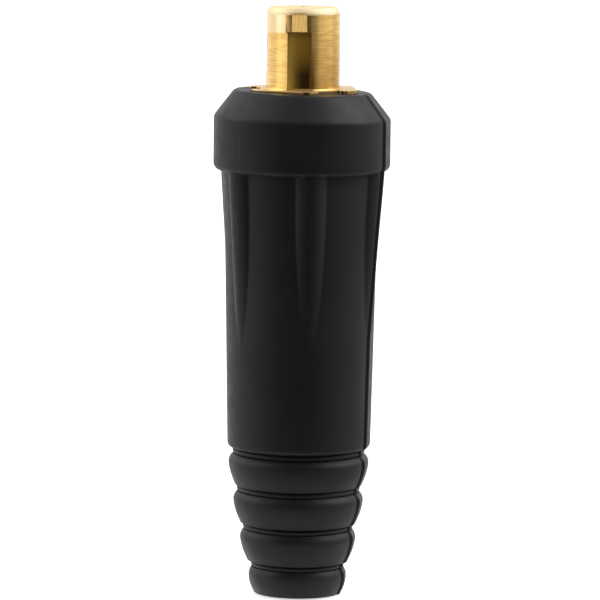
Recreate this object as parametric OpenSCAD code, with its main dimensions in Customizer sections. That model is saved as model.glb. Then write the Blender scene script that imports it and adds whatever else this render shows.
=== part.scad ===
// Twist-lock welding cable plug: a turned brass contact with a keyed flange, held in a moulded rubber boot.
// The axis is +Z. The boot's tail stands on z = 0 and the contact pin points up.
// A turn is an angle about +Z, counted from the front (-Y) towards +X.

/* [Contact pin] */
// Diameter of the contact pin
pin_d = 13; // [11:0.1:14]
// Length of the pin above the flange face
pin_l = 14.2; // [11:0.1:20]
// Radius that the lead-in takes off the pin's tip
tip_lead_r = 0.5; // [0.1:0.1:1]
// Height of the lead-in
tip_lead_h = 1.1; // [0.3:0.1:1.6]
// Diameter of the turning pip on the end face
pip_d = 1; // [0.4:0.1:2]
// Height of the turning pip
pip_h = 0.2; // [0.1:0.05:0.5]
// Length of the locking lug, from the tip
lug_l = 4.05; // [2:0.05:5]
// Step in radius down to the tip band that holds the lug
tip_step = 0.05; // [0.02:0.01:0.1]
// Height that the tip band reaches below the lug
band_drop = 0.75; // [0.4:0.05:2]
// Width of the flat on the lug
lug_flat_w = 2.6; // [1:0.1:4]
// Width of the keyway under the lug
keyway_w = 4.2; // [2:0.1:6]
// Depth of the keyway below the pin's surface
keyway_depth = 1; // [0.4:0.1:2]
// Turn of the keyway
keyway_turn = -6; // [-180:1:180]
// Angle that the locking track runs round from the keyway
track_angle = 95; // [20:1:120]
// Depth of the locking track below the pin's surface
track_depth = 0.2; // [0.1:0.05:0.4]
// Distance from the keyway's end down to the locking track
track_drop = 0.2; // [0.1:0.1:0.8]

/* [Flange] */
// Width of the flange across its flats
flange_af = 18.5; // [18:0.1:19.4]
// Diameter of the flange across its rounded corners
flange_corner_d = 20.6; // [20:0.1:21]
// Thickness of the flange
flange_t = 3; // [2:0.1:4]
// Height that the flange face stands above the boot's nose
flange_proud = 0; // [0:0.1:1.5]
// Width of each key notch
notch_w = 5.4; // [4:0.1:7]
// Distance from the axis to a notch's floor
notch_floor = 7.5; // [7.2:0.1:8.4]
// Corner radius in a notch's floor
notch_corner_r = 0.8; // [0.3:0.1:1.4]
// Radius round the flange's lobes, where the notches open
lobe_corner_r = 0.75; // [0.4:0.05:0.9]
// Angle at which that round breaks a lobe's faces
lobe_break = 20; // [15:1:35]
// Turn of the first key notch
key_turn = 34; // [-180:1:180]
// Diameter of the boss round the pin's foot
boss_d = 14.2; // [14.1:0.1:14.8]
// Height of the boss
boss_h = 0.2; // [0.2:0.1:0.8]

/* [Barrel] */
// Diameter of the neck behind the flange
neck_d = 15.8; // [14:0.1:17]
// Length of the neck
neck_l = 4; // [2.5:0.1:6]
// Diameter of the barrel
barrel_d = 20.5; // [20:0.1:21]
// Length of the barrel
barrel_l = 35; // [34:0.5:40]
// Chamfer at the barrel's ends
barrel_chamfer = 0.6; // [0.2:0.1:1]
// Diameter of the cable socket
socket_d = 10.5; // [9:0.1:11.5]
// Depth of the cable socket
socket_l = 30; // [29:0.5:32]
// Angle across the drill point at the socket's end
drill_angle = 118; // [90:1:140]

/* [Clamp screws] */
// Thread diameter of the clamp screws
screw_d = 8; // [6:0.5:9]
// Distance from the barrel's rear end to the rear screw's axis
screw_inset = 8; // [6.5:0.5:10]
// Distance between the two screws
screw_spacing = 12; // [10:0.5:14]
// Turn of the clamp screws
screw_turn = 180; // [-180:1:180]
// Width across the flats of the hexagon socket
hex_af = 4; // [3:0.5:5]
// Depth of the hexagon socket
hex_depth = 2.2; // [1:0.1:2.6]
// Chamfer at both ends of a screw
screw_chamfer = 0.5; // [0.2:0.1:0.8]

/* [Ferrule] */
// Wall of the rolled copper ferrule
ferrule_wall = 0.5; // [0.3:0.05:1]
// Length of the ferrule
ferrule_l = 25; // [22:0.5:27]
// Width of the ferrule's open seam
ferrule_seam = 1.2; // [0.5:0.1:3]

/* [Boot nose and collar] */
// Diameter of the collar
collar_d = 31.1; // [30.8:0.1:34]
// Height of the collar, from its underside to the foot of the nose cone
collar_h = 9.6; // [7:0.1:13]
// Radius round the collar's lower edge
collar_edge_r = 1.4; // [0.6:0.1:2]
// Diameter of the nose rim
nose_d = 24; // [23.2:0.1:26]
// Height of the nose cone
nose_h = 4.8; // [3:0.1:8]
// Height that the nose face rises from its rim to the flange
nose_crown = 0.1; // [0.1:0.1:0.8]
// Radius round the nose rim and the collar's upper edge
rim_edge_r = 0.5; // [0.2:0.1:0.8]

/* [Boot body] */
// Height of the body, from the top groove to the collar
body_h = 49.55; // [47:0.05:58]
// Diameter of the body under the collar, before its flare
body_top_d = 27.2; // [26.6:0.1:28]
// Growth in radius where the body flares into the collar
body_flare = 0.4; // [0.1:0.1:0.8]
// Height of the flare
flare_h = 18; // [10:0.5:22]
// Radius round the body's lower edge
body_edge_r = 0.9; // [0.4:0.1:1.4]
// Number of grip ridges under the collar
ridge_count = 6; // [3:1:6]
// Radius of a ridge's round back
ridge_r = 3.4; // [3:0.1:4.6]
// Height of a ridge above the body at the collar
ridge_h = 1.1; // [0.4:0.05:1.2]
// Length of a ridge below the collar, where it runs out into the body
ridge_l = 30; // [22:0.5:36]
// Turn of the first ridge
ridge_turn = 7; // [-180:0.5:180]

/* [Boot tail] */
// Number of ribs on the tail
rib_count = 4; // [3:1:5]
// Height from one groove to the next
rib_pitch = 6.75; // [5.5:0.05:8]
// Height of the lowest rib
end_rib_h = 5.2; // [4.5:0.1:7]
// Diameter of the tail at the top groove
tail_top_d = 25.2; // [24:0.1:26]
// Diameter of the tail's end
tail_end_d = 15.6; // [14.8:0.1:17]
// Bulge of the tail's outline out of a straight cone
tail_bulge = 0.6; // [0.2:0.05:0.9]
// Width of the grooves
groove_w = 0.9; // [0.5:0.1:1.2]
// Depth of the grooves below the tail's outline
groove_depth = 1; // [0.9:0.1:1.2]
// Step of the top rib's lower lip inside the tail's outline; the ribs below it step less and less
rib_lip = 0.6; // [0.2:0.05:0.7]
// Bulge of a rib's flank
rib_bulge = 0.2; // [0.05:0.05:0.4]
// Height of a rib's rounded shoulder
shoulder_h = 1.4; // [0.8:0.1:2]
// Radius round a rib's lower lip
lip_edge_r = 0.3; // [0.1:0.05:0.4]

/* [Boot inside] */
// Diameter of the cable entry in the tail
entry_d = 11.2; // [9:0.1:12]
// Length of the straight part of the cable entry
entry_l = 12; // [6:0.5:16]
// Width of the step that the barrel's rear end sits on
barrel_step = 2.2; // [1:0.1:3]

/* [Fits] */
// Gap between the boot and the brass it holds
boot_gap = 0.15; // [0.05:0.05:0.3]
// Gap round the ferrule and at the screws' tips
ferrule_gap = 0.1; // [0.05:0.05:0.2]
// Gap round the screws in their tapped holes
thread_gap = 0.1; // [0.05:0.05:0.2]

/* [Hidden] */
$fn = 96;
// Overlap that carries a cut or a joint past a shared face
over = 1;
// Steps along each rounded stretch of an outline
round_steps = 6;
rubber_black = [0.13, 0.13, 0.14];
brass_gold = [0.80, 0.62, 0.30];
dark_steel = [0.25, 0.25, 0.27];
copper_red = [0.72, 0.43, 0.28];

// Heights along the axis, from the tail's end upwards
tail_h = end_rib_h + (rib_count - 1) * rib_pitch;
body_z = tail_h + groove_w / 2;
collar_z = tail_h + body_h;
nose_foot_z = collar_z + collar_h;
nose_rim_z = nose_foot_z + nose_h;
nose_z = nose_rim_z + nose_crown;
flange_z = nose_z + flange_proud;
flange_back_z = flange_z - flange_t;
neck_back_z = flange_back_z - neck_l;
barrel_back_z = neck_back_z - barrel_l;
tip_z = flange_z + pin_l;
lug_z = tip_z - lug_l;
band_z = lug_z - band_drop;
rear_screw_z = barrel_back_z + screw_inset;
front_screw_z = rear_screw_z + screw_spacing;

// Radii and depths that follow from the driving sizes
pin_r = pin_d / 2;
tip_r = pin_r - tip_step;
barrel_r = barrel_d / 2;
socket_r = socket_d / 2;
screw_r = screw_d / 2;
collar_r = collar_d / 2;
tail_end_r = tail_end_d / 2;
drill_point_h = socket_r / tan(drill_angle / 2);
ferrule_r = socket_r - ferrule_gap;
screw_tip_r = ferrule_r + ferrule_gap;
screw_end_r = sqrt(pow(barrel_r, 2) - pow(screw_r, 2));
lug_flat_r = sqrt(pow(tip_r, 2) - pow(lug_flat_w / 2, 2));
lobe_corner_inset = lobe_corner_r * cos(lobe_break);
pocket_r = barrel_r + boot_gap;
passage_r = pocket_r - barrel_step;

// Radius of the body's straight taper and of its flare into the collar
function taper_r(z) = (tail_top_d + (body_top_d - tail_top_d) * (z - tail_h) / body_h) / 2;
function flare_r(z) = body_flare * pow(max(0, z - collar_z + flare_h) / flare_h, 2);
function body_r(z) = taper_r(z) + flare_r(z);

// Radius of the tail's outline, a cone with a bulge
function tail_share(z) = z / tail_h;
function tail_cone_r(z) = (tail_end_d + (tail_top_d - tail_end_d) * tail_share(z)) / 2;
function tail_r(z) = tail_cone_r(z) + 4 * tail_bulge * tail_share(z) * (1 - tail_share(z));

// Heights of a rib's two ends and of the groove above it, counted from the tail's end
function groove_z(i) = end_rib_h + i * rib_pitch;
function rib_low_z(i) = i == 0 ? 0 : groove_z(i - 1) + groove_w / 2;
function rib_high_z(i) = groove_z(i) - groove_w / 2;
function groove_r(i) = tail_r(groove_z(i)) - groove_depth;
function lip_step(i) = rib_lip * (i + 1) / rib_count;
function lip_r(i) = i == 0 ? tail_end_r : tail_r(rib_low_z(i)) - lip_step(i);
function crest_z(i) = rib_high_z(i) - shoulder_h;
function crest_r(i) = tail_r(crest_z(i));

// Points of a round corner: a quarter of an ellipse about a centre, between two angles
function round_points(centre, half_r, half_z, from, to) = [
    for (i = [0 : round_steps])
        let (angle = from + (to - from) * i / round_steps)
        [centre.x + half_r * cos(angle), centre.y + half_z * sin(angle)]
];

// Points up a rib's flank, bulged out of the straight line from its lip to its crest
function flank_points(i) = [
    for (j = [1 : round_steps - 1])
        let (t = j / round_steps, low_z = rib_low_z(i) + lip_edge_r)
        [
            lip_r(i) + (crest_r(i) - lip_r(i)) * t + 4 * rib_bulge * t * (1 - t),
            low_z + (crest_z(i) - low_z) * t
        ]
];

// Outline of one rib, from its lower lip to the groove above it
function rib_points(i) = concat(
    i == 0 ? [] : [[groove_r(i - 1), rib_low_z(i)]],
    round_points([lip_r(i) - lip_edge_r, rib_low_z(i) + lip_edge_r], lip_edge_r, lip_edge_r, -90, 0),
    flank_points(i),
    round_points([groove_r(i), crest_z(i)], crest_r(i) - groove_r(i), shoulder_h, 0, 90)
);

// Outline of the ribbed tail, up into the body
function tail_points() = concat(
    [[0, 0]],
    [for (i = [0 : rib_count - 1]) each rib_points(i)],
    [[groove_r(rib_count - 1), body_z + over], [0, body_z + over]]
);

// Outline of the plain body, up into the collar
function body_points() = concat(
    [[0, body_z]],
    round_points([body_r(body_z) - body_edge_r, body_z + body_edge_r], body_edge_r, body_edge_r, -90, 0),
    [for (j = [0 : round_steps]) let (z = collar_z - flare_h * (1 - j / round_steps)) [body_r(z), z]],
    [[body_r(collar_z), collar_z + over], [0, collar_z + over]]
);

// Outline of the collar and the nose
nose_slope = atan2(collar_r - nose_d / 2, nose_h);
function collar_points() = concat(
    [[0, collar_z]],
    round_points([collar_r - collar_edge_r, collar_z + collar_edge_r], collar_edge_r, collar_edge_r, -90, 0),
    [
        [collar_r, nose_foot_z - rim_edge_r],
        [collar_r - rim_edge_r * sin(nose_slope), nose_foot_z + rim_edge_r * cos(nose_slope)],
        [nose_d / 2 + rim_edge_r * sin(nose_slope), nose_rim_z - rim_edge_r * cos(nose_slope)],
        [nose_d / 2 - rim_edge_r, nose_rim_z],
        [notch_floor, nose_z],
        [0, nose_z]
    ]
);

// Outline of the hollow that takes the contact and the cable
function hollow_points() = [
    [0, -over],
    [entry_d / 2, -over],
    [entry_d / 2, entry_l],
    [passage_r, tail_h],
    [passage_r, barrel_back_z - boot_gap],
    [pocket_r, barrel_back_z - boot_gap],
    [pocket_r, neck_back_z + boot_gap],
    [neck_d / 2 + boot_gap, neck_back_z + boot_gap],
    [neck_d / 2 + boot_gap, flange_back_z + boot_gap],
    [0, flange_back_z + boot_gap]
];

// Outline of the turned barrel and neck, up to the boss round the pin's foot
function turned_points() = [
    [0, barrel_back_z],
    [barrel_r - barrel_chamfer, barrel_back_z],
    [barrel_r, barrel_back_z + barrel_chamfer],
    [barrel_r, neck_back_z - barrel_chamfer],
    [barrel_r - barrel_chamfer, neck_back_z],
    [neck_d / 2, neck_back_z],
    [neck_d / 2, flange_back_z],
    [boss_d / 2, flange_back_z],
    [boss_d / 2, flange_z + boss_h / 2],
    [boss_d / 2 - boss_h / 2, flange_z + boss_h],
    [0, flange_z + boss_h]
];

// Outline of the turned pin, from inside the flange to its tip
function pin_points() = [
    [0, flange_z - over],
    [pin_r, flange_z - over],
    [pin_r, band_z],
    [tip_r, band_z],
    [tip_r, tip_z - tip_lead_h],
    [tip_r - tip_lead_r, tip_z],
    [pip_d / 2, tip_z],
    [pip_d / 2, tip_z + pip_h],
    [0, tip_z + pip_h]
];

// Blind cable socket with its drill point, seen from the axis
function socket_points() = [
    [0, barrel_back_z - over],
    [socket_r, barrel_back_z - over],
    [socket_r, barrel_back_z + socket_l],
    [0, barrel_back_z + socket_l + drill_point_h]
];

// Turns a feature that faces the front to its own turn
module turned_to(turn) {
    rotate([0, 0, turn])
        children();
}

// A cut that faces the front, from a flat floor outwards
module flat_cut(width, floor_r, low_z, high_z) {
    translate([-width / 2, -floor_r - barrel_r, low_z])
        cube([width, barrel_r, high_z - low_z]);
}

// Section of a key notch with round corners in its floor; grow shrinks the notch on every side
module notch_section(grow) {
    half = notch_w / 2 - grow;
    floor_r = notch_floor + grow;
    translate([-half, -floor_r - barrel_r])
        square([2 * half, barrel_r - notch_corner_r]);
    translate([notch_corner_r - half, -floor_r - barrel_r])
        square([2 * (half - notch_corner_r), barrel_r]);
    for (side = [-1, 1])
        translate([side * (half - notch_corner_r), -floor_r - notch_corner_r])
            circle(r = notch_corner_r);
}

// Cuts the lobes round on both sides of a notch's mouth; grow leaves larger lobes
module notch_mouth(grow) {
    corner = lobe_corner_r + grow;
    for (side = [0, 1])
        mirror([side, 0])
            translate([notch_w / 2 + lobe_corner_inset, lobe_corner_inset - flange_af / 2])
                difference() {
                    translate([-corner - over, -corner - over])
                        square(corner + over);
                    circle(r = corner);
                }
}

// Section of the flange: a hexagon with corners left round from the bar, notched on every second flat
module flange_section(grow) {
    rotate(key_turn)
        difference() {
            intersection() {
                circle(d = flange_corner_d + 2 * grow);
                circle(r = (flange_af / 2 + grow) / cos(30), $fn = 6);
            }
            for (i = [0 : 2])
                rotate(i * 120) {
                    notch_section(grow);
                    notch_mouth(grow);
                }
        }
}

// A grip ridge: a round back that leans out of the body and runs up into the collar
ridge_low_z = collar_z - ridge_l;
ridge_lean = atan((body_r(collar_z) + ridge_h - body_r(ridge_low_z)) / ridge_l);
// Length of a ridge's root, inside the body below the ridge's end
ridge_root = 4;
ridge_run = ridge_l + collar_edge_r;
module ridge() {
    translate([0, -body_r(ridge_low_z), ridge_low_z])
        rotate([ridge_lean, 0, 0])
            translate([0, 0, -ridge_root])
                linear_extrude(ridge_root + ridge_run)
                    intersection() {
                        translate([0, ridge_r])
                            circle(r = ridge_r);
                        translate([-ridge_r - over, -over])
                            square([2 * (ridge_r + over), ridge_r + over]);
                    }
}

// The rubber moulding: ribbed tail, ridged body, collar and nose, hollow for the contact and the cable
module rubber_boot() {
    color(rubber_black)
        difference() {
            union() {
                rotate_extrude()
                    polygon(tail_points());
                rotate_extrude()
                    polygon(body_points());
                for (i = [0 : ridge_count - 1])
                    turned_to(ridge_turn + i * 360 / ridge_count)
                        ridge();
                rotate_extrude()
                    polygon(collar_points());
            }
            rotate_extrude()
                polygon(hollow_points());
            translate([0, 0, flange_back_z - boot_gap])
                linear_extrude(flange_t + boot_gap + over)
                    flange_section(boot_gap);
        }
}

// The brass contact: pin with keyway, lug and locking track, keyed flange, neck and barrel with its socket
module plug_body() {
    color(brass_gold)
        difference() {
            union() {
                rotate_extrude()
                    polygon(turned_points());
                difference() {
                    rotate_extrude()
                        polygon(pin_points());
                    turned_to(keyway_turn - 90 - track_angle)
                        locking_track();
                }
                translate([0, 0, flange_back_z])
                    linear_extrude(flange_t)
                        flange_section(0);
            }
            turned_to(keyway_turn) {
                flat_cut(keyway_w, pin_r - keyway_depth, flange_z, lug_z);
                flat_cut(pin_d, lug_flat_r, lug_z - over, tip_z + over);
            }
            rotate_extrude()
                polygon(socket_points());
            for (z = [front_screw_z, rear_screw_z])
                screw_place(z)
                    cylinder(r = screw_r + thread_gap, h = barrel_r);
        }
}

// The shallow track behind the lug, a part turn from the keyway; its foot is inside the boss
module locking_track() {
    rotate_extrude(angle = track_angle)
        translate([pin_r - track_depth, flange_z])
            square([track_depth + over, lug_z - track_drop - flange_z]);
}

// Carries a shape modelled along +Z to a clamp screw's radial axis at height z
module screw_place(z) {
    turned_to(screw_turn)
        translate([0, 0, z])
            rotate([90, 0, 0])
                children();
}

// A headless clamp screw with a hexagon socket, at height z
module clamp_screw(z) {
    screw_l = screw_end_r - screw_tip_r;
    color(dark_steel)
        screw_place(z)
            translate([0, 0, screw_tip_r])
                difference() {
                    rotate_extrude()
                        polygon([
                            [0, 0],
                            [screw_r - screw_chamfer, 0],
                            [screw_r, screw_chamfer],
                            [screw_r, screw_l - screw_chamfer],
                            [screw_r - screw_chamfer, screw_l],
                            [0, screw_l]
                        ]);
                    translate([0, 0, screw_l - hex_depth])
                        cylinder(r = hex_af / 2 / cos(30), h = hex_depth + over, $fn = 6);
                }
}

module front_clamp_screw() {
    clamp_screw(front_screw_z);
}

module rear_clamp_screw() {
    clamp_screw(rear_screw_z);
}

// The rolled copper ferrule, its open seam on the side away from the screws
module cable_ferrule() {
    seam_angle = 2 * asin(ferrule_seam / 2 / ferrule_r);
    color(copper_red)
        turned_to(screw_turn + 90 + seam_angle / 2)
            translate([0, 0, barrel_back_z])
                rotate_extrude(angle = 360 - seam_angle)
                    translate([ferrule_r - ferrule_wall, 0])
                        square([ferrule_wall, ferrule_l]);
}

rubber_boot();
plug_body();
front_clamp_screw();
rear_clamp_screw();
cable_ferrule();
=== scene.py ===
"""Looks of a twist-lock welding cable plug: a moulded rubber boot on a turned brass contact.

It stands in a white studio. The frame's axis is +Z, the tail stands on z = 0 and the front is -Y. A turn is
an angle about +Z, in degrees, counted from the front towards +X. Sizes of the plug are in millimetres until
a mesh or a shader takes them.
"""

import math

import bpy
import numpy as np
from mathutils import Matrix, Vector


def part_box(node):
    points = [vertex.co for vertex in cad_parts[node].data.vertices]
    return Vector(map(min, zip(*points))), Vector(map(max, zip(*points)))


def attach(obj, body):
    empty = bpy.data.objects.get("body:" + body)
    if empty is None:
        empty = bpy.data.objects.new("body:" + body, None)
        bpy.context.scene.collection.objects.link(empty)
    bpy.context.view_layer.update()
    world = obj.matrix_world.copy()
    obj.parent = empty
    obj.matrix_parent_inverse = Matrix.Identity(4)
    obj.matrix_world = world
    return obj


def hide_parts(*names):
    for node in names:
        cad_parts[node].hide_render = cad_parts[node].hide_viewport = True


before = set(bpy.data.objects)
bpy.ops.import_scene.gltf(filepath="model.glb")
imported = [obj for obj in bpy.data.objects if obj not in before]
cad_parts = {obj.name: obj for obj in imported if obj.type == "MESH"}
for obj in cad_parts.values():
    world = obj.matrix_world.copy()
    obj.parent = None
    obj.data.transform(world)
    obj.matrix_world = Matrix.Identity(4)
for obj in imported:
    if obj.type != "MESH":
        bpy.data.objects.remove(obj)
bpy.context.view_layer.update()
scene = bpy.context.scene

MM = 0.001
BLACK = (0.0, 0.0, 0.0)
WHITE = (1.0, 1.0, 1.0)
boot_low, boot_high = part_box("rubber_boot")
body_low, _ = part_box("plug_body")

# Boot: heights and radii of the moulding
NOSE_Z = boot_high.z / MM
COLLAR_R = (boot_high.x - boot_low.x) / 2 / MM
NOSE_R = 12.0
NOSE_H = 4.8
NOSE_CROWN = 0.1
COLLAR_H = 9.6
COLLAR_EDGE_R = 1.4
RIM_EDGE_R = 0.5
BODY_H = 49.55
BODY_TOP_R = 13.6
BODY_FLARE = 0.4
FLARE_H = 18.0
BODY_EDGE_R = 0.9
NOSE_RIM_Z = NOSE_Z - NOSE_CROWN
NOSE_FOOT_Z = NOSE_RIM_Z - NOSE_H
COLLAR_Z = NOSE_FOOT_Z - COLLAR_H
TAIL_H = COLLAR_Z - BODY_H

# Boot: ribbed tail
RIB_COUNT = 4
RIB_PITCH = 6.75
TAIL_TOP_R = 12.6
TAIL_END_R = 7.8
TAIL_BULGE = 0.6
GROOVE_W = 1.1
GROOVE_DEPTH = 1.0
GROOVE_BEAD = 0.1
GROOVE_CREASE = 0.25
RIB_LIP = 0.6
RIB_BULGE = 0.2
SHOULDER_H = 0.85
SHOULDER_SET = 0.65
LIP_EDGE_R = 0.3
END_RIB_H = TAIL_H - (RIB_COUNT - 1) * RIB_PITCH
BODY_Z = TAIL_H + GROOVE_W / 2

# Boot: grip ridges under the collar
RIDGE_COUNT = 6
RIDGE_TURN = 7.0
RIDGE_R = 3.4
RIDGE_H = 1.1
RIDGE_L = 30.0
RIDGE_BLEND = 0.1
RIDGE_LEDGE = 0.03

# Boot: swelling on the right of the body, under the collar
SWELL_TURN = 90.0
SWELL_SPREAD = 45.0
SWELL_H = 15.0
SWELL = 0.3

# Boot: the soft collar and nose sag a little and lean to the right
NOSE_LEAN = 0.022
NOSE_SAG = 0.4

# Boot: mould parting line, a fine groove beside the edge of a half that stands proud
SEAM_TURNS = (66.0, 246.0)
SEAM_DEPTH = 0.25
SEAM_W = 0.28
SEAM_STEP = 0.42
SEAM_REACH = 3.0
SEAM_SPREAD = 2.6

# Boot: hollow for the contact and the cable
GAP = 0.15
ENTRY_R = 5.6
ENTRY_L = 12.0
POCKET_R = 10.4
PASSAGE_R = 8.2
NECK_R = 7.9
NECK_L = 4.0
BARREL_BACK_Z = body_low.z / MM
EDGE_R = 0.2

# Flange of the contact, flush with the boot's nose, which is keyed to it
FLANGE_Z = NOSE_Z
FLANGE_AF = 18.5
FLANGE_CORNER_R = 10.3
FLANGE_T = 3.0
NOTCH_W = 5.4
NOTCH_FLOOR = 7.5
NOTCH_CORNER_R = 0.8
LOBE_CORNER_R = 0.7
KEY_TURN = 34.0
KEY_COUNT = 3
FLANGE_BACK_Z = FLANGE_Z - FLANGE_T
NECK_BACK_Z = FLANGE_BACK_Z - NECK_L

# Pin of the contact, for the looks of its keyway, lug, lead-in and tip band
PIN_L = 14.2
LEAD_L = 1.1
LUG_L = 4.05
LUG_OVERLAP = 0.33
LUG_FLAT_W = 2.6
LUG_FLAT_R = 6.3
KEYWAY_TURN = -6.0
KEYWAY_W = 4.2
KEYWAY_FLOOR = 5.5
FOOT_H = 0.25
BAND_OVERLAP = 0.2
BAND_EDGE = 2.45
BAND_FADE = 5.8
EDGE_DARK_W = 0.9
MARGIN = 0.04
SIDE_MARGIN = 0.1
TIP_Z = FLANGE_Z + PIN_L
LEAD_Z = TIP_Z - LEAD_L
LUG_Z = TIP_Z - LUG_L
LUG_TOP_Z = LEAD_Z + LUG_OVERLAP
FOOT_Z = FLANGE_Z + FOOT_H
BAND_Z = LUG_Z - BAND_OVERLAP
HALF_KEYWAY = KEYWAY_W / 2

# Mesh of the boot: rings on each stretch of its outline, and angles of the rings round the recess's edge
RING_STEPS = {
    "lip": 5, "flank": 10, "corner": 5, "shoulder": 4, "groove": 10, "body_edge": 6, "body": 65,
    "collar_edge": 9, "collar": 8, "cone": 8, "nose_face": 4, "entry_edge": 4,
}
RECESS_ANGLES = (35, 65, 90)
SHARP_ANGLE = 50

# Mesh of the boot: points on each stretch of half a flange lobe, and as many columns round the boot as the
# whole flange has points, close together over a ridge and closer at a parting line
LOBE_STEPS = {
    "flat": 24, "corner": 7, "side_flat": 5, "mouth": 5, "side": 4, "floor_corner": 5, "floor": 10,
}
COLUMNS = 2 * KEY_COUNT * sum(LOBE_STEPS.values())
SEAM_COLUMNS = 18
RIDGE_COLUMNS = 44
RIDGE_ZONE = 13.5
LAND_COLUMNS = (COLUMNS - len(SEAM_TURNS) * SEAM_COLUMNS) // RIDGE_COUNT - RIDGE_COLUMNS

# Meshes of the metal pieces: what is welded, taken as flat or given a broken edge
WELD_REACH = 0.002
CORNER_REACH = 0.0001
FLAT_ANGLE = 0.5
EDGE_ANGLE = 32
EDGE_SEGMENTS = 2
BROKEN_EDGE = 0.08
FACE_WEIGHT = 80

# Noise: cells in a metre, layers of detail and how strong the finer layers are, then ranges it is used over
NOISE = {
    "bloom": (70, 4, 0.5),
    "grain": (9000, 2, 0.5),
    "peel": (1100, 2, 0.5),
    "gloss": (400, 4, 0.5),
    "fine_marks": (16000, 2, 0.5),
    "coarse_marks": (3500, 2, 0.5),
    "stain": (260, 5, 0.6),
    "scratch": (2600, 3, 0.5),
    "milling": (5000, 3, 0.5),
    "speck": (40, 3, 0.5),
}
NOISE_RANGE = (0.3, 0.7)
SCRATCH_RANGE = (0.35, 0.65)
STAIN_RANGE = (0.35, 0.75)
STAIN_ROUGH_RANGE = (0.3, 0.75)

# Rubber: shades, how convex a worn edge is, gloss and relief
RUBBER_DARK = (0.0170, 0.0173, 0.0195)
RUBBER_BLOOM = (0.0240, 0.0244, 0.0270)
RUBBER_WORN = (0.045, 0.044, 0.042)
WORN_RANGE = (0.52, 0.62)
WORN_SHARE = 0.35
RUBBER_ROUGH = (0.40, 0.52)
RUBBER_SPECULAR = 0.175
PEEL_DEPTH = 0.03
PEEL_STRENGTH = 0.25
GRAIN_DEPTH = 0.01
GRAIN_STRENGTH = 0.5

# Turned metal: relief of its marks, and the looks of the screws and the ferrule
FINE_SHARE = 0.5
MARK_STRENGTH = 0.6
SCREW_STEEL = {
    "bright": (0.10, 0.10, 0.11), "dull": (0.06, 0.06, 0.065), "mark_depth": 0.006, "rough": (0.35, 0.5),
}
FERRULE_COPPER = {
    "bright": (0.80, 0.42, 0.28), "dull": (0.55, 0.27, 0.17), "mark_depth": 0.003, "rough": (0.25, 0.4),
}

# Brass of the contact: colours
BRASS = (0.98, 0.64, 0.21)
BRASS_DULL = (0.86, 0.53, 0.16)
# Painted highlight: the paler tip band left of the lug
BRASS_BAND_HIGHLIGHT = (0.96, 0.72, 0.42)
BRASS_LUG = (0.78, 0.5, 0.17)
# Painted highlight: the paler lead-in, which upward faces partly take too
BRASS_LEAD_HIGHLIGHT = (0.86, 0.7, 0.44)
# Painted shade towards the pin's foot on its right
BRASS_FOOT_SHADE = (0.7, 0.62, 0.5)
# Painted shade and dark reflection on the flange's side
BRASS_SIDE_SHADE = (0.3, 0.2, 0.08)
# Keyway: dull grime under painted shade that is darkest at the foot
KEYWAY_GRIME_AND_SHADE = [
    (0.0, (0.025, 0.013, 0.002)), (0.25, (0.035, 0.018, 0.002)), (0.6, (0.27, 0.14, 0.018)),
    (1.0, (0.36, 0.185, 0.025)),
]
# Painted reflection that makes the keyway paler on its left
KEYWAY_LEFT_REFLECTION = (0.64, 0.42, 0.085)
KEYWAY_RIGHT = (0.3, 0.16, 0.02)
# Darker strip beside the keyway's right edge, most at the foot
KEYWAY_EDGE_DARK = (0.12, 0.06, 0.008)

# Brass of the contact: where its shading runs, as shares of the pin's length or of the keyway's width
FOOT_RANGE = (0.0, 0.75)
EDGE_DARK_RANGE = (0.1, 0.6)
LEFT_RANGE = (0.05, 0.8)
RIGHT_RANGE = (0.85, 1.05)

# Brass of the contact: its marks, how strong the shading is, and gloss
SCRATCH_STRETCH = 0.12
SCRATCH_SHADE = (0.82, 1.08)
MILL_STRETCH = 0.08
MILL_SHADE = (0.6, 1.1)
BRASS_MARK_DEPTH = 0.012
EDGE_DARK_SHARE = 0.9
LEFT_POWER = 3.0
END_FACE_TILT = (0.7, 0.95)
# Share of the painted highlight on upward faces
END_FACE_HIGHLIGHT = 0.7
KEYWAY_COVER = 0.85
LUG_RISE = 0.45
BRASS_SPECULAR = 0.15
BRASS_ROUGH = (0.16, 0.26)
ROUGHER = {"keyway": 0.25, "lug": 0.15, "lead": 0.4, "end_face": 0.25}

# Studio: camera, in millimetres and degrees
CAMERA_DISTANCE = 877.0
CAMERA_HEIGHT = 155.0
CAMERA_AIM = 52.06
CAMERA_ROLL = 0.64
CAMERA_SIDE = -0.05
CAMERA_SENSOR = 36.0
FRAME_W = 105.73

# Studio: floor and the glow on it round the plug, in metres
FLOOR_SIDE = 12.0
FLOOR_DROP = 0.0002
FLOOR_LIGHT = 0.45
FLOOR_ROUGH = 0.8
FLOOR_GREY = (0.86, 0.86, 0.86)
FLOOR_PALE = (0.9, 0.9, 0.9)
GLOW_R = 0.045
GLOW_SIDES = 64
GLOW_LIGHT = 1.3

# Studio: brightness of the walls by azimuth, counted as turns are, and how high up they fade out
WALL_LIGHT = [
    (-180, 1.15), (180, 1.15), (-140, 1.05), (-110, 0.92), (-80, 0.92), (-62, 0.7), (-48, 0.36),
    (-35, 0.15), (0, 0.06), (20, 0.1), (38, 0.29), (66, 0.49), (98, 0.57), (120, 0.72), (150, 0.95),
]
WALL_FADE = (0.2, 0.8)

# Studio: lights above, by azimuth, elevation, inner and outer angle of their soft edge, and brightness
TOP_LIGHTS = [
    (95, 45, 10, 35, 4.2),
    (-100, 42, 10, 40, 1.9),
    (-115, 66, 5, 22, 0.7),
    (180, 75, 20, 75, 0.2),
]

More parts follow.
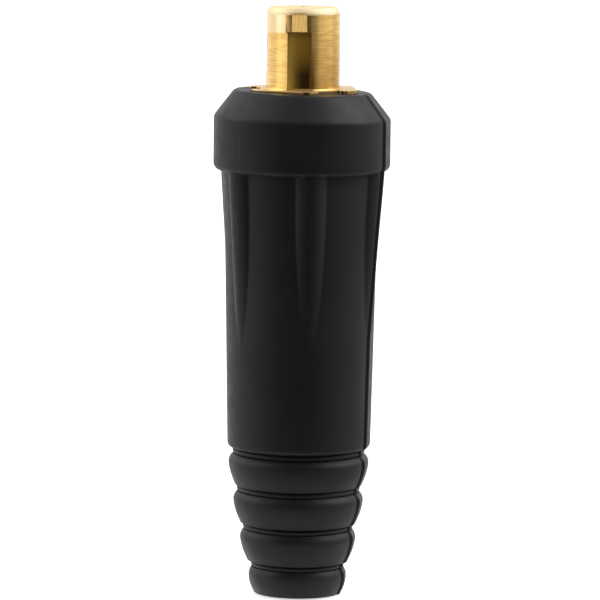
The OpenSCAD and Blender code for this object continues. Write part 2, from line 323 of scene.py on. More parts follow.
# Studio: panels for the metal, by azimuth and elevation, width and height in metres, and power in watts
PANELS = [
    ("front_panel", 0, 50, 0.9, 0.25, 1.0),
    ("right_panel", 76, 5, 0.7, 0.6, 0.32),
    ("left_panel", -72, 5, 0.42, 0.6, 0.32),
]
PANEL_DISTANCE = 0.6


# Outline helpers
def arc(centre_r, centre_z, radius, start, end, steps):
    """Points (r, z) on part of a circle, between two angles in degrees, both ends included."""
    angles = np.radians(np.linspace(start, end, steps + 1))
    return [(centre_r + radius * math.cos(a), centre_z + radius * math.sin(a)) for a in angles]


def line(start, end, steps):
    """Points (r, z) from start to end, without the first one."""
    shares = np.linspace(0, 1, steps + 1)[1:]
    return [(start[0] + (end[0] - start[0]) * t, start[1] + (end[1] - start[1]) * t) for t in shares]


def along(point, heading, length):
    """The point a length away in the (r, z) plane, on a heading in degrees from +r towards +z."""
    angle = math.radians(heading)
    return (point[0] + length * math.cos(angle), point[1] + length * math.sin(angle))


def rounded_corner(corner, heading_in, heading_out, setback):
    """Points of a soft corner between two headings, each cut back by the setback, without the first one."""
    start = along(corner, heading_in, -setback)
    end = along(corner, heading_out, setback)
    points = []
    for t in np.linspace(0, 1, RING_STEPS["corner"] + 1)[1:]:
        weights = ((1 - t) ** 2, 2 * t * (1 - t), t ** 2)
        points.append(tuple(np.dot(weights, (start, corner, end))))
    return points


def arch(share):
    """A low arch over the shares from 0 to 1, one high in the middle."""
    return 4 * share * (1 - share)


# Boot outline
def body_r(z):
    """Radius of the tapered body, which flares a little under the collar."""
    taper = TAIL_TOP_R + (BODY_TOP_R - TAIL_TOP_R) * (z - TAIL_H) / BODY_H
    flare = max(0.0, z - COLLAR_Z + FLARE_H) / FLARE_H
    return taper + BODY_FLARE * flare ** 2


def tail_r(z):
    """Radius of the tail over its ribs' crests."""
    share = z / TAIL_H
    return TAIL_END_R + (TAIL_TOP_R - TAIL_END_R) * share + TAIL_BULGE * arch(share)


def rib_outline(i):
    """Points up one rib, from its lower lip over its shoulder to the beaded groove above it."""
    groove_z = END_RIB_H + i * RIB_PITCH
    high_z = groove_z - GROOVE_W / 2
    low_z = 0.0 if i == 0 else groove_z - RIB_PITCH + GROOVE_W / 2
    lip_r = TAIL_END_R if i == 0 else tail_r(low_z) - RIB_LIP * (i + 1) / RIB_COUNT
    foot_z = low_z + LIP_EDGE_R
    corner_z = high_z - SHOULDER_H
    crest_z = corner_z - SHOULDER_SET
    crest_r = tail_r(crest_z)
    floor_r = tail_r(groove_z) - GROOVE_DEPTH
    points = arc(lip_r - LIP_EDGE_R, foot_z, LIP_EDGE_R, -90, 0, RING_STEPS["lip"])
    for t in np.linspace(0, 1, RING_STEPS["flank"] + 1)[1:]:
        flank_r = lip_r + (crest_r - lip_r) * t + RIB_BULGE * arch(t)
        points.append((flank_r, foot_z + (crest_z - foot_z) * t))
    slope = math.degrees(math.atan2(SHOULDER_H, floor_r - crest_r))
    points += rounded_corner((crest_r, corner_z), 90, slope, SHOULDER_SET)
    points += line(points[-1], (floor_r, high_z), RING_STEPS["shoulder"])
    for t in np.linspace(0, 1, RING_STEPS["groove"] + 1):
        dip = (GROOVE_BEAD + GROOVE_CREASE) * (1 - math.sin(math.pi * t))
        points.append((floor_r + GROOVE_BEAD - dip, high_z + GROOVE_W * t))
    return points


def outer_outline():
    """Points up the outside of the boot, from the tail's end to the nose's rim."""
    points = []
    for i in range(RIB_COUNT):
        points += rib_outline(i)
    body_foot_z = BODY_Z + BODY_EDGE_R
    points += arc(body_r(BODY_Z) - BODY_EDGE_R, body_foot_z, BODY_EDGE_R, -90, 0, RING_STEPS["body_edge"])
    for z in np.linspace(body_foot_z, COLLAR_Z, RING_STEPS["body"] + 1)[1:]:
        points.append((body_r(z), z))
    collar_foot_z = COLLAR_Z + COLLAR_EDGE_R
    points += arc(COLLAR_R - COLLAR_EDGE_R, collar_foot_z, COLLAR_EDGE_R, -90, 0, RING_STEPS["collar_edge"])
    collar_top = (COLLAR_R, NOSE_FOOT_Z - RIM_EDGE_R)
    points += line((COLLAR_R, collar_foot_z), collar_top, RING_STEPS["collar"])
    slope = 90 + math.degrees(math.atan2(COLLAR_R - NOSE_R, NOSE_H))
    points += rounded_corner((COLLAR_R, NOSE_FOOT_Z), 90, slope, RIM_EDGE_R)
    cone_top = along((NOSE_R, NOSE_RIM_Z), slope, -RIM_EDGE_R)
    points += line(points[-1], cone_top, RING_STEPS["cone"])
    points += rounded_corner((NOSE_R, NOSE_RIM_Z), slope, 180, RIM_EDGE_R)
    return points


# Surface relief of the boot
def column_turns():
    """Turns of the boot's columns: close over the ridges, closer at each parting line, wide in between."""
    first = KEY_TURN - 180 / KEY_COUNT
    pitch = 360 / RIDGE_COUNT
    over_ridge = np.linspace(-RIDGE_ZONE, RIDGE_ZONE, RIDGE_COLUMNS)
    over_land = np.linspace(RIDGE_ZONE, pitch - RIDGE_ZONE, LAND_COLUMNS + 2)[1:-1]
    sector = RIDGE_TURN + np.concatenate([over_ridge, over_land])
    ridges = [sector + i * pitch for i in range(RIDGE_COUNT)]
    spread = np.linspace(-1, 1, SEAM_COLUMNS)
    seams = [turn + SEAM_SPREAD * spread for turn in SEAM_TURNS]
    return first + np.sort((np.concatenate(ridges + seams) - first) % 360)


def turn_between(turns, centre):
    """Signed difference of each turn from a centre, in degrees from -180 to 180."""
    return (turns - centre + 180) % 360 - 180


def soft_max(a, b, width):
    """The greater of two values, with the corner between them filled over a width."""
    mix = np.clip(0.5 + 0.5 * (b - a) / width, 0, 1)
    return a + (b - a) * mix + width * mix * (1 - mix) / 2


def ridged_r(turns, r, z):
    """Radius of the body with its ridges, each a round back that leans out of it."""
    low_z = COLLAR_Z - RIDGE_L
    slope = (body_r(COLLAR_Z) + RIDGE_H - body_r(low_z)) / RIDGE_L
    centre_r = body_r(low_z) + (z - low_z) * slope - RIDGE_R
    result = np.full_like(turns, r)
    for i in range(RIDGE_COUNT):
        offset = np.radians(turn_between(turns, RIDGE_TURN + i * 360 / RIDGE_COUNT))
        side = np.clip(centre_r * np.sin(offset), -RIDGE_R, RIDGE_R)
        back_r = centre_r * np.cos(offset) + np.sqrt(RIDGE_R ** 2 - side ** 2)
        near = np.abs(offset) < math.pi / RIDGE_COUNT
        result = np.where(near, soft_max(result, back_r, RIDGE_BLEND), result)
    return result


def swell(turns, z):
    """How far the body stands out on its right as it nears the collar."""
    share = min(max((z - COLLAR_Z) / SWELL_H + 1, 0), 1)
    rise = share * share * (3 - 2 * share)
    spread = np.clip(np.abs(turn_between(turns, SWELL_TURN)) / SWELL_SPREAD, 0, 1)
    return SWELL * rise * np.cos(spread * math.pi / 2) ** 2


def nose_drop(turns, r, z):
    """How far the collar and the nose lie below their true height, most at the rim and on the right."""
    foot_z = COLLAR_Z + COLLAR_EDGE_R
    share = max(0.0, (z - foot_z) / (NOSE_RIM_Z - foot_z))
    return share * (NOSE_SAG * share + NOSE_LEAN * r * np.sin(np.radians(turns)))


def seam_relief(turns, r):
    """Height of the parting lines: a fine groove, and one half of the mould proud of the other."""
    relief = np.zeros_like(turns)
    for turn in SEAM_TURNS:
        away = np.radians(turn_between(turns, turn)) * r
        relief -= SEAM_DEPTH * np.exp(-(away / SEAM_W) ** 2)
        past = (1 + np.tanh((away - SEAM_W) / SEAM_W)) / 2
        relief += SEAM_STEP * past * np.clip(1 - away / SEAM_REACH, 0, 1) ** 2
    return relief


def ring(turns, r, z):
    """Points of one ring round the axis; r and z may be one value or one for each turn."""
    angles = np.radians(turns)
    z_values = np.full_like(angles, 1.0) * z
    return np.stack([r * np.sin(angles), -r * np.cos(angles), z_values], axis=1)


# Flange outline
def lobe_half(grow):
    """Half a lobe of the flange's outline, from the middle of a plain flat to the middle of a notch.

    Points are (across, out) about the notch's own direction, with the plain flat on its left.
    """
    apothem = FLANGE_AF / 2 + grow
    corner_r = FLANGE_CORNER_R + grow
    half_notch = NOTCH_W / 2 - grow
    floor = NOTCH_FLOOR + grow
    mouth_r = LOBE_CORNER_R + grow
    chord = math.acos(apothem / corner_r)
    flat_turn = math.radians(-180 / KEY_COUNT)
    points = []
    for t in np.linspace(0, 1, LOBE_STEPS["flat"], endpoint=False):
        across = apothem * math.tan(chord) * t
        points.append((
            apothem * math.sin(flat_turn) + across * math.cos(flat_turn),
            apothem * math.cos(flat_turn) - across * math.sin(flat_turn),
        ))
    for a in np.linspace(flat_turn + chord, -chord, LOBE_STEPS["corner"], endpoint=False):
        points.append((corner_r * math.sin(a), corner_r * math.cos(a)))
    mouth_x = -NOTCH_W / 2 - LOBE_CORNER_R
    for x in np.linspace(-corner_r * math.sin(chord), mouth_x, LOBE_STEPS["side_flat"], endpoint=False):
        points.append((x, apothem))
    mouth_y = FLANGE_AF / 2 - LOBE_CORNER_R
    for a in np.radians(np.linspace(90, 0, LOBE_STEPS["mouth"], endpoint=False)):
        points.append((mouth_x + mouth_r * math.cos(a), mouth_y + mouth_r * math.sin(a)))
    for y in np.linspace(mouth_y, floor + NOTCH_CORNER_R, LOBE_STEPS["side"], endpoint=False):
        points.append((-half_notch, y))
    for a in np.radians(np.linspace(180, 270, LOBE_STEPS["floor_corner"], endpoint=False)):
        points.append((
            -half_notch + NOTCH_CORNER_R * (1 + math.cos(a)),
            floor + NOTCH_CORNER_R * (1 + math.sin(a)),
        ))
    for x in np.linspace(NOTCH_CORNER_R - half_notch, 0, LOBE_STEPS["floor"], endpoint=False):
        points.append((x, floor))
    return points


def flange_outline(grow):
    """The flange's whole outline, as turns and radii in step with the boot's columns."""
    half = lobe_half(grow)
    floor = NOTCH_FLOOR + grow
    lobe = half + [(0.0, floor)] + [(-x, y) for x, y in reversed(half[1:])]
    turns = []
    radii = []
    for i in range(KEY_COUNT):
        for across, out in lobe:
            turns.append(KEY_TURN + i * 360 / KEY_COUNT + math.degrees(math.atan2(across, out)))
            radii.append(math.hypot(across, out))
    return np.array(turns), np.array(radii)


# Boot mesh
def nose_face_z(turns, r):
    """Height of the nose's face, which rises gently from its rim to the flange and sags as the rim does."""
    rim_r = NOSE_R - RIM_EDGE_R
    crown = NOSE_CROWN * (rim_r - r) / (rim_r - NOTCH_FLOOR)
    return NOSE_RIM_Z + crown - nose_drop(turns, r, NOSE_RIM_Z)


def outer_rings(turns):
    """Rings up the outside of the boot, with ridges, swelling and parting lines."""
    rings = []
    body_top = ridged_r(turns, body_r(COLLAR_Z), COLLAR_Z) + swell(turns, COLLAR_Z)
    for r, z in outer_outline():
        radii = np.full_like(turns, r)
        if COLLAR_Z <= z < COLLAR_Z + COLLAR_EDGE_R and r >= COLLAR_R - COLLAR_EDGE_R:
            radii = np.maximum(r, body_top + RIDGE_LEDGE)
        elif BODY_Z + BODY_EDGE_R < z <= COLLAR_Z:
            radii = ridged_r(turns, r, z) + swell(turns, z)
        rings.append(ring(turns, radii + seam_relief(turns, r), z - nose_drop(turns, r, z)))
    return rings


def nose_rings(rim, turns):
    """Rings over the nose's face, down into the keyed recess round the flange and in to the neck."""
    mouth_turns, mouth_r = flange_outline(GAP + EDGE_R)
    mouth = ring(mouth_turns, mouth_r, nose_face_z(mouth_turns, mouth_r))
    rings = []
    for share in np.linspace(0, 1, RING_STEPS["nose_face"] + 1)[1:]:
        rings.append(rim + (mouth - rim) * share)
    for angle in np.radians(RECESS_ANGLES):
        wall_turns, wall_r = flange_outline(GAP + EDGE_R * (1 - math.sin(angle)))
        edge_z = nose_face_z(wall_turns, wall_r) - EDGE_R * (1 - math.cos(angle))
        rings.append(ring(wall_turns, wall_r, edge_z))
    under_key = wall_r < NECK_R + GAP
    floor_z = np.where(under_key, FLANGE_BACK_Z + GAP, FLANGE_BACK_Z - GAP)
    rings.append(ring(wall_turns, wall_r, floor_z))
    rings.append(ring(turns, NECK_R + GAP, floor_z))
    return rings


def hollow_rings(turns):
    """Rings down the inside of the boot, from the neck to the tail's open end."""
    outline = [
        (NECK_R + GAP, NECK_BACK_Z + GAP),
        (POCKET_R, NECK_BACK_Z + GAP),
        (POCKET_R, BARREL_BACK_Z - GAP),
        (PASSAGE_R, BARREL_BACK_Z - GAP),
        (PASSAGE_R, TAIL_H),
        (ENTRY_R, ENTRY_L),
    ]
    outline += arc(ENTRY_R + EDGE_R, EDGE_R, EDGE_R, 180, 270, RING_STEPS["entry_edge"])
    return [ring(turns, r, z) for r, z in outline]


def closed_skin(name, rings):
    """A closed mesh object from rings of equal count, the last ring joined to the first."""
    count = len(rings[0])
    row = np.arange(len(rings))[:, None] * count
    above = np.roll(row, -1, axis=0)
    column = np.arange(count)[None, :]
    beside = np.roll(column, -1, axis=1)
    faces = np.stack([row + column, row + beside, above + beside, above + column], axis=-1).reshape(-1, 4)
    mesh = bpy.data.meshes.new(name)
    mesh.from_pydata((np.concatenate(rings) * MM).tolist(), [], faces.tolist())
    mesh.shade_smooth()
    mesh.set_sharp_from_angle(angle=math.radians(SHARP_ANGLE))
    piece = bpy.data.objects.new(name, mesh)
    scene.collection.objects.link(piece)
    return piece


def make_boot():
    """The rubber boot as one closed skin, with its material."""
    turns = column_turns()
    rings = outer_rings(turns)
    rings += nose_rings(rings[-1], turns)
    rings += hollow_rings(turns)
    boot = closed_skin("moulded_boot", rings)
    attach(boot, "root")
    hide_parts("rubber_boot")
    boot.data.materials.append(rubber())


# Shader helpers
class NodeTree:
    """Short ways to add and join nodes."""

    def __init__(self, owner):
        owner.use_nodes = True
        self.nodes = owner.node_tree.nodes
        self.links = owner.node_tree.links

    def add(self, kind, inputs=None, **settings):
        """A new node with its settings and its inputs, which are named or numbered."""
        node = self.nodes.new("ShaderNode" + kind)
        for name, value in settings.items():
            setattr(node, name, value)
        for name, value in (inputs or {}).items():
            self.feed(node, name, value)
        return node

    def feed(self, node, name, value):
        """Joins an input to another node's output, or sets it to a number, a vector or a colour."""
        socket = node.inputs[name]
        if isinstance(value, bpy.types.NodeSocket):
            self.links.new(value, socket)
        elif socket.type == "RGBA":
            socket.default_value = (*value, 1)
        else:
            socket.default_value = value

    def split(self, vector):
        """The three parts of a vector, by the names X, Y and Z."""
        return self.add("SeparateXYZ", {"Vector": vector}).outputs

    def vector(self, x=0.0, y=0.0, z=0.0):
        return self.add("CombineXYZ", {"X": x, "Y": y, "Z": z}).outputs["Vector"]

    def maths(self, operation, first, second=0.0):
        return self.add("Math", {0: first, 1: second}, operation=operation).outputs["Value"]

    def product(self, first, *others):
        """The product of numbers, or a mask of the places where all of several masks hold."""
        for other in others:
            first = self.maths("MULTIPLY", first, other)
        return first

    def span(self, value, source, target=(0.0, 1.0), curve="LINEAR"):
        """A value carried from a source range to a target range, held at its ends."""
        low, high = source
        to_low, to_high = target
        inputs = {"Value": value, "From Min": low, "From Max": high, "To Min": to_low, "To Max": to_high}
        return self.add("MapRange", inputs, interpolation_type=curve).outputs["Result"]

    def ramp(self, value, stops, curve="LINEAR"):
        """Colour of a value between 0 and 1, from stops of (position, colour)."""
        node = self.add("ValToRGB", {"Fac": value})
        node.color_ramp.interpolation = curve
        elements = node.color_ramp.elements
        for element, (position, colour) in zip(elements, stops[:2]):
            element.position = position
            element.color = (*colour, 1)
        for position, colour in stops[2:]:
            elements.new(position).color = (*colour, 1)
        return node.outputs["Color"]

    def mix(self, share, first, second, blend="MIX"):
        """A colour part of the way from a first one to a second one."""
        inputs = {"Factor": share, "A": first, "B": second}
        return self.add("Mix", inputs, data_type="RGBA", blend_type=blend).outputs["Result"]


class Shader(NodeTree):
    """A node material with one principled shader."""

    def __init__(self, name):
        self.material = bpy.data.materials.new(name)
        super().__init__(self.material)
        self.surface = self.nodes["Principled BSDF"]

    def set(self, **inputs):
        for name, value in inputs.items():
            self.feed(self.surface, name.replace("_", " "), value)

    def place(self):
        """Position on the object, in metres."""
        return self.add("TexCoord").outputs["Object"]

    def noise(self, pattern, vector=None):
        """Noise between 0 and 1 in a named pattern, over the object or over another vector."""
        scale, detail, roughness = NOISE[pattern]
        inputs = {"Scale": scale, "Detail": detail, "Roughness": roughness}
        inputs["Vector"] = vector or self.place()
        return self.add("TexNoise", inputs).outputs["Fac"]

    def bump(self, height, depth, strength, normal=None):
        """Normal of a relief of a depth in millimetres, on top of another normal where one is given."""
        node = self.add("Bump", {"Height": height, "Distance": depth * MM, "Strength": strength})
        if normal:
            self.feed(node, "Normal", normal)
        return node.outputs["Normal"]

    def stained(self, stain, bright, dull):
        """Colour of metal that a stain dulls."""
        start, end = STAIN_RANGE
        return self.ramp(stain, [(start, bright), (end, dull)])

    def lathe_marks(self, across, deep, height):
        """Relief of fine marks round the axis, on flat ends as rings."""
        squares = [self.maths("POWER", side, 2.0) for side in (across, deep)]
        radius = self.maths("SQRT", self.maths("ADD", *squares))
        lathe = self.vector(x=radius, z=height)
        fine = self.noise("fine_marks", lathe)
        coarse = self.noise("coarse_marks", lathe)
        return self.maths("ADD", self.product(fine, FINE_SHARE), coarse)


class BrassShader(Shader):
    """The contact's shader, which tells places by height, by distance out at the keyway and across it."""

    def __init__(self, name):
        super().__init__(name)
        place = self.split(self.place())
        turn = math.radians(KEYWAY_TURN)
        self.height = place["Z"]
        self.out = self.facing(place, math.sin(turn), -math.cos(turn))
        self.across = self.facing(place, math.cos(turn), math.sin(turn))
        self.up_pin = self.span(self.height, (FOOT_Z * MM, TIP_Z * MM))
        self.stain = self.noise("stain")

    def facing(self, place, x_share, y_share):
        """Distance from the axis along a level direction."""
        return self.maths("ADD", self.product(place["X"], x_share), self.product(place["Y"], y_share))

    def above(self, value, limit):
        return self.maths("GREATER_THAN", value, limit * MM)

    def below(self, value, limit):
        return self.maths("LESS_THAN", value, limit * MM)

    def within(self, value, low, high):
        return self.product(self.above(value, low), self.below(value, high))

    def milled(self, low_z, high_z, floor, width):
        """Mask of a flat milled on the pin at the keyway, between two heights."""
        aside = self.maths("ABSOLUTE", self.across)
        return self.product(
            self.within(self.height, low_z, high_z),
            self.above(self.out, floor - MARGIN),
            self.below(aside, width / 2 + MARGIN),
        )

    def end_face(self):
        """Mask of the faces that look up."""
        up = self.split(self.add("NewGeometry").outputs["Normal"])["Z"]
        return self.span(up, END_FACE_TILT)

    # Mask of the flange's side, painted dark as shade and a dark reflection
    def flange_side_shade(self):
        return self.within(self.height, FLANGE_BACK_Z, FLANGE_Z - SIDE_MARGIN)

    def band_highlight(self):
        """Mask of a painted highlight on the band left of the lug, which fades out towards the back."""
        to_front = self.span(self.out, (-BAND_FADE * MM, 0.0), curve="SMOOTHSTEP")
        return self.product(self.above(self.height, BAND_Z), self.below(self.across, -BAND_EDGE), to_front)

    def right_edge_dark(self):
        """Mask of a darker strip beside the keyway's right edge, most at the foot."""
        edge = (HALF_KEYWAY * MM, (HALF_KEYWAY + EDGE_DARK_W) * MM)
        return self.product(
            self.above(self.out, 0.0),
            self.within(self.height, FOOT_Z, LUG_Z),
            self.above(self.across, 0.0),
            self.span(self.across, edge, (1.0, 0.0), "SMOOTHSTEP"),
            self.span(self.up_pin, EDGE_DARK_RANGE, (EDGE_DARK_SHARE, 0.0)),
        )

    def shaded_by(self, colour, share):
        return self.mix(1.0, colour, self.vector(share, share, share), "MULTIPLY")

    def turned_tint(self):
        """Stained brass with short marks drawn out round the axis."""
        sides = [self.product(side, SCRATCH_STRETCH) for side in (self.across, self.out)]
        scratch = self.noise("scratch", self.vector(*sides, self.height))
        tint = self.stained(self.stain, BRASS, BRASS_DULL)
        return self.shaded_by(tint, self.span(scratch, SCRATCH_RANGE, SCRATCH_SHADE))

    def foot_shaded(self, tint):
        """A painted shade: the tint darkens on the pin's right towards its foot."""
        dark_end, clear_end = FOOT_RANGE
        shade = self.ramp(self.up_pin, [(dark_end, BRASS_FOOT_SHADE), (clear_end, WHITE)])
        to_right = self.span(self.across, (0.0, HALF_KEYWAY * MM))
        on_pin = self.above(self.height, FOOT_Z)
        return self.mix(self.product(on_pin, to_right), tint, shade, "MULTIPLY")

    def grime_and_shade(self):
        """Colour of the keyway: dull grime with painted shade darkest at its foot, a painted reflection
        paler on the left, brown along the right edge.
        """
        grime_and_shade = self.ramp(self.span(self.height, (FOOT_Z * MM, LUG_Z * MM)), KEYWAY_GRIME_AND_SHADE)
        share = self.span(self.across, (-HALF_KEYWAY * MM, HALF_KEYWAY * MM))
        left = self.maths("POWER", self.span(share, LEFT_RANGE, (1.0, 0.0)), LEFT_POWER)
        grime_and_shade = self.mix(left, grime_and_shade, KEYWAY_LEFT_REFLECTION)
        right = self.span(share, RIGHT_RANGE, curve="SMOOTHSTEP")
        return self.mix(right, grime_and_shade, KEYWAY_RIGHT)

    def lug_tint(self):
        """Brass with upright streaks of a milling cutter."""
        upright = self.vector(x=self.across, z=self.product(self.height, MILL_STRETCH))
        streak = self.span(self.noise("milling", upright), NOISE_RANGE, MILL_SHADE)
        return self.shaded_by(BRASS_LUG, streak)

    def raised_normal(self, lug):
        """Normal of the lathe's marks, which leans up on the lug."""
        marks = self.lathe_marks(self.out, self.across, self.height)
        normal = self.bump(marks, BRASS_MARK_DEPTH, MARK_STRENGTH)
        lift = self.vector(z=self.product(lug, LUG_RISE))
        normal = self.add("VectorMath", {0: normal, 1: lift}, operation="ADD").outputs["Vector"]
        return self.add("VectorMath", {0: normal}, operation="NORMALIZE").outputs["Vector"]


# Materials
def rubber():
    """Satin black moulded rubber: fine grain, a soft bloom, and edges that have rubbed paler."""
    shader = Shader("boot_rubber")
    low, high = NOISE_RANGE
    shade = shader.ramp(shader.noise("bloom"), [(low, RUBBER_DARK), (high, RUBBER_BLOOM)])
    edge = shader.add("NewGeometry").outputs["Pointiness"]
    worn = shader.span(edge, WORN_RANGE, (0.0, WORN_SHARE))
    normal = shader.bump(shader.noise("peel"), PEEL_DEPTH, PEEL_STRENGTH)
    shader.set(
        Base_Color=shader.mix(worn, shade, RUBBER_WORN),
        Roughness=shader.span(shader.noise("gloss"), NOISE_RANGE, RUBBER_ROUGH),
        Specular_IOR_Level=RUBBER_SPECULAR,
        Normal=shader.bump(shader.noise("grain"), GRAIN_DEPTH, GRAIN_STRENGTH, normal),
    )
    return shader.material


def turned_metal(name, bright, dull, mark_depth, rough):
    """Metal off a lathe: fine marks round the axis and light handling stains."""
    shader = Shader(name)
    place = shader.split(shader.place())
    stain = shader.noise("stain")
    marks = shader.lathe_marks(place["X"], place["Y"], place["Z"])
    shader.set(
        Base_Color=shader.stained(stain, bright, dull),
        Metallic=1.0,
        Roughness=shader.span(stain, STAIN_ROUGH_RANGE, rough),
        Normal=shader.bump(marks, mark_depth, MARK_STRENGTH),
    )
    return shader.material


def contact_brass():
    """Bright turned brass: satin faces, a milled lug and lead-in, a grimy keyway under painted shade,
    painted highlights on the tip band, the lead-in and upward faces, and painted shade towards the foot and
    on the flange's side.
    """
    shader = BrassShader("contact_brass")
    masks = {
        "keyway": shader.milled(FOOT_Z, LUG_Z - MARGIN, KEYWAY_FLOOR, KEYWAY_W),
        "lug": shader.milled(LUG_Z + MARGIN, LUG_TOP_Z, LUG_FLAT_R, LUG_FLAT_W),
        "lead": shader.above(shader.height, LEAD_Z),
        "end_face": shader.end_face(),
    }
    tint = shader.turned_tint()
    # Painted highlight: faces that look up are painted partly in the lead-in's paler colour
    tint = shader.mix(shader.product(masks["end_face"], END_FACE_HIGHLIGHT), tint, BRASS_LEAD_HIGHLIGHT)
    tint = shader.foot_shaded(tint)
    layers = [
        (shader.right_edge_dark(), KEYWAY_EDGE_DARK),
        (shader.flange_side_shade(), BRASS_SIDE_SHADE),
        (masks["keyway"], shader.grime_and_shade()),
        (shader.band_highlight(), BRASS_BAND_HIGHLIGHT),
        (masks["lead"], BRASS_LEAD_HIGHLIGHT),
        (masks["lug"], shader.lug_tint()),
    ]
    for mask, colour in layers:
        tint = shader.mix(mask, tint, colour)
    rough = shader.span(shader.stain, STAIN_ROUGH_RANGE, BRASS_ROUGH)
    for region, more in ROUGHER.items():
        rough = shader.maths("ADD", rough, shader.product(masks[region], more))
    shader.set(
        Base_Color=tint,
        Metallic=shader.maths("SUBTRACT", 1.0, shader.product(masks["keyway"], KEYWAY_COVER)),
        Roughness=rough,
        Specular_IOR_Level=BRASS_SPECULAR,
        Normal=shader.raised_normal(masks["lug"]),
    )
    return shader.material


def dress(node, material):
    """Gives a CAD node a material, welded faces, small broken edges and even shading."""
    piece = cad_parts[node]
    piece.data.materials.clear()
    piece.data.materials.append(material)
    weld = piece.modifiers.new("weld", "WELD")
    weld.merge_threshold = WELD_REACH * MM
    flat = piece.modifiers.new("flat_faces", "DECIMATE")
    flat.decimate_type = "DISSOLVE"
    flat.angle_limit = math.radians(FLAT_ANGLE)
    edges = piece.modifiers.new("broken_edges", "BEVEL")
    edges.width = BROKEN_EDGE * MM
    edges.segments = EDGE_SEGMENTS
    edges.limit_method = "ANGLE"
    edges.angle_limit = math.radians(EDGE_ANGLE)
    corners = piece.modifiers.new("joined_corners", "WELD")
    corners.merge_threshold = CORNER_REACH * MM
    shading = piece.modifiers.new("even_shading", "WEIGHTED_NORMAL")
    shading.weight = FACE_WEIGHT


# Studio
def flat_face(name, corners, material):
    """One flat face of the studio, which casts no shadow and lights nothing by diffuse rays."""
    mesh = bpy.data.meshes.new(name)
    mesh.from_pydata(corners, [], [list(range(len(corners)))])
    mesh.materials.append(material)
    face = bpy.data.objects.new(name, mesh)
    face.visible_diffuse = False
    face.visible_shadow = False
    scene.collection.objects.link(face)
    return face


def make_floor():
    """A wide white floor that stays white to the camera and takes a soft shadow."""
    shader = Shader("studio_floor")
    shader.set(
        Base_Color=shader.ramp(shader.noise("speck"), [(0.0, FLOOR_GREY), (1.0, FLOOR_PALE)]),
        Roughness=FLOOR_ROUGH,
        Emission_Color=WHITE,
        Emission_Strength=FLOOR_LIGHT,
    )
    side = FLOOR_SIDE / 2
    corners = [(-side, -side, 0), (side, -side, 0), (side, side, 0), (-side, side, 0)]
    floor = flat_face("studio_floor", corners, shader.material)
    floor.location.z = -FLOOR_DROP
    floor.visible_glossy = False


def make_floor_glow():
    """A bright patch of floor round the plug, which only its reflections see."""
    shader = Shader("floor_glow")
    shader.set(Base_Color=BLACK, Roughness=1.0, Emission_Color=WHITE, Emission_Strength=GLOW_LIGHT)
    corners = ring(np.linspace(0, 360, GLOW_SIDES, endpoint=False), GLOW_R, 0.0)
    glow = flat_face("floor_glow", corners.tolist(), shader.material)
    glow.location.z = -FLOOR_DROP / 2
    glow.visible_camera = False


def direction(azimuth, elevation):
    """Unit vector out from the plug, at an azimuth counted as turns are and an elevation in degrees."""
    side = math.radians(azimuth)
    rise = math.radians(elevation)
    return Vector((math.sin(side) * math.cos(rise), -math.cos(side) * math.cos(rise), math.sin(rise)))


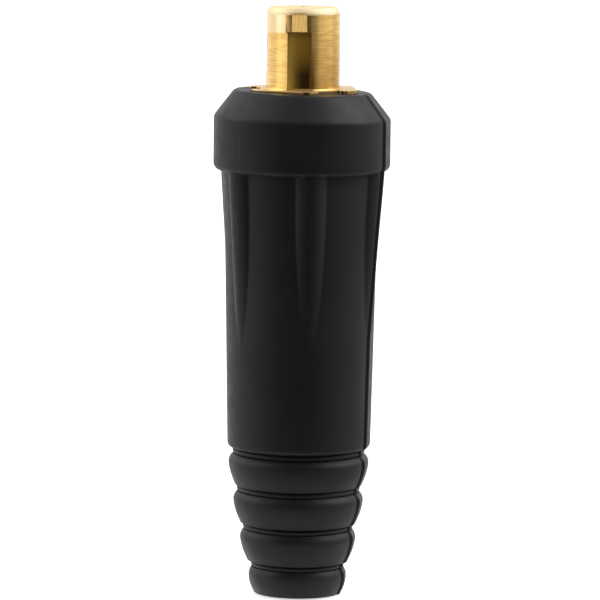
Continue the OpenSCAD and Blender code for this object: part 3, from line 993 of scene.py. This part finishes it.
def make_world():
    """White walls all round but for a dark front, and soft lights above, stronger on the right."""
    world = bpy.data.worlds.new("studio")
    tree = NodeTree(world)
    scene.world = world
    heading = tree.add("TexCoord").outputs["Generated"]
    parts = tree.split(heading)
    azimuths = tree.maths("ARCTAN2", parts["X"], tree.product(parts["Y"], -1.0))
    stops = [(0.5 + azimuth / 360, (level, level, level)) for azimuth, level in WALL_LIGHT]
    walls = tree.ramp(tree.span(azimuths, (-math.pi, math.pi)), stops, "EASE")
    light = tree.product(walls, tree.span(parts["Z"], WALL_FADE, (1.0, 0.0), "SMOOTHSTEP"))
    for azimuth, elevation, inner, outer, level in TOP_LIGHTS:
        axis = direction(azimuth, elevation)
        near = tree.add("VectorMath", {0: heading, 1: axis}, operation="DOT_PRODUCT").outputs["Value"]
        edge = (math.cos(math.radians(outer)), math.cos(math.radians(inner)))
        light = tree.maths("ADD", light, tree.span(near, edge, (0.0, level), "SMOOTHSTEP"))
    background = tree.nodes["Background"]
    tree.feed(background, "Color", WHITE)
    tree.feed(background, "Strength", light)


def make_panels():
    """Soft panels that light the bright metal alone: one above the front and one on each side."""
    metal = bpy.data.collections.new("bright_metal")
    metal.objects.link(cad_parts["plug_body"])
    for name, azimuth, elevation, width, height, power in PANELS:
        lamp = bpy.data.lights.new(name, "AREA")
        lamp.shape = "RECTANGLE"
        lamp.size = width
        lamp.size_y = height
        lamp.energy = power
        panel = bpy.data.objects.new(name, lamp)
        away = direction(azimuth, elevation)
        panel.location = away * PANEL_DISTANCE + Vector((0, 0, TIP_Z * MM))
        panel.rotation_euler = (-away).to_track_quat("-Z", "Y").to_euler()
        panel.light_linking.receiver_collection = metal
        scene.collection.objects.link(panel)


def make_camera():
    """A long lens from the front, a little above and rolled slightly."""
    camera = bpy.data.objects.new("camera", bpy.data.cameras.new("camera"))
    target = Vector((CAMERA_SIDE, 0, CAMERA_AIM)) * MM
    camera.location = Vector((CAMERA_SIDE, -CAMERA_DISTANCE, CAMERA_HEIGHT)) * MM
    view = target - camera.location
    camera.rotation_euler = view.to_track_quat("-Z", "Y").to_euler()
    camera.rotation_euler.rotate_axis("Z", math.radians(CAMERA_ROLL))
    camera.data.sensor_width = CAMERA_SENSOR
    camera.data.lens = CAMERA_SENSOR * view.length / (FRAME_W * MM)
    camera.data.clip_end = FLOOR_SIDE
    scene.collection.objects.link(camera)
    scene.camera = camera


make_boot()
dress("plug_body", contact_brass())
steel = turned_metal("screw_steel", **SCREW_STEEL)
for screw in ("front_clamp_screw", "rear_clamp_screw"):
    dress(screw, steel)
dress("cable_ferrule", turned_metal("ferrule_copper", **FERRULE_COPPER))

make_floor()
make_floor_glow()
make_world()
make_panels()
make_camera()
scene.view_settings.view_transform = "Standard"
